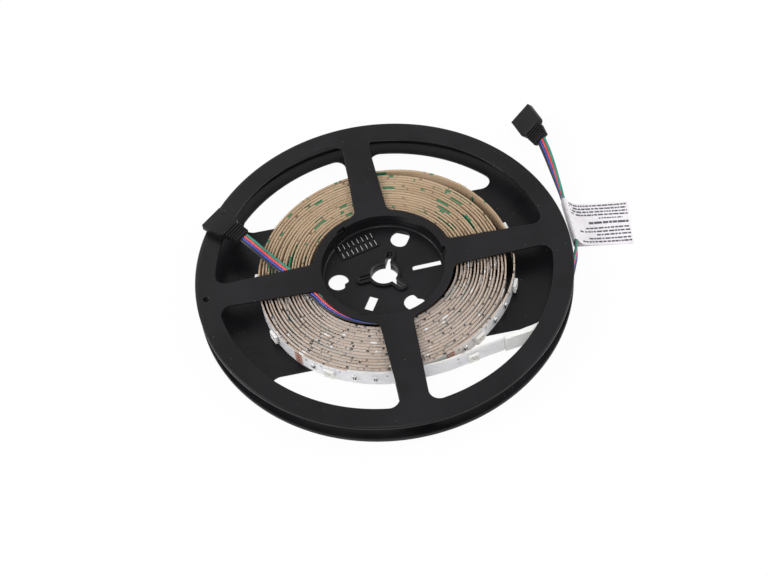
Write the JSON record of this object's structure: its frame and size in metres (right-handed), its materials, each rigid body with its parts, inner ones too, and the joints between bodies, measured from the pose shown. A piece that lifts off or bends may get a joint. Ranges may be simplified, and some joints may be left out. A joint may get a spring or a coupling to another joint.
{
  "type": "led strip light reel",
  "caption": "Flat spool of two snapped plastic halves holding a tightly wound LED light strip, with a flat multi-wire lead and plug at each end and a folded paper flag on one lead.",
  "frame": {"origin": "centre of the reel's underside", "axes": "+Z along the reel's axis, up from the table; +Y away from the viewer of the reference picture; +X to the viewer's right, where the outer lead leaves"},
  "size_m": [0.2111, 0.1789, 0.0173],
  "materials": {
    "reel": "satin",
    "strip": "satin",
    "led": "gloss",
    "resistor": "satin",
    "sleeve": "satin",
    "lead": "satin",
    "connector": "satin",
    "contact": "polished",
    "paper": "matt"
  },
  "bodies": {
    "root": {"reel_upper_half": "reel", "reel_lower_half": "reel", "led_strip_roll": "strip", "led_1": "led", "led_2": "led", "led_3": "led", "led_4": "led", "led_5": "led", "led_6": "led", "led_7": "led", "led_8": "led", "led_9": "led", "led_10": "led", "led_11": "led", "led_12": "led", "resistor_1": "resistor", "resistor_2": "resistor", "resistor_3": "resistor", "resistor_4": "resistor", "resistor_5": "resistor", "resistor_6": "resistor", "resistor_7": "resistor", "resistor_8": "resistor", "resistor_9": "resistor", "resistor_10": "resistor", "resistor_11": "resistor", "resistor_12": "resistor", "inner_lead": "lead", "outer_lead": "lead", "inner_joint_sleeve": "sleeve", "outer_joint_sleeve": "sleeve", "inner_connector_strain_relief": "connector", "inner_connector_housing": "connector", "inner_connector_contact_1": "contact", "inner_connector_contact_2": "contact", "inner_connector_contact_3": "contact", "inner_connector_contact_4": "contact", "outer_connector_strain_relief": "connector", "outer_connector_housing": "connector", "outer_connector_contact_1": "contact", "outer_connector_contact_2": "contact", "outer_connector_contact_3": "contact", "outer_connector_contact_4": "contact", "label_flag": "paper"}
  },
  "joints": []
}
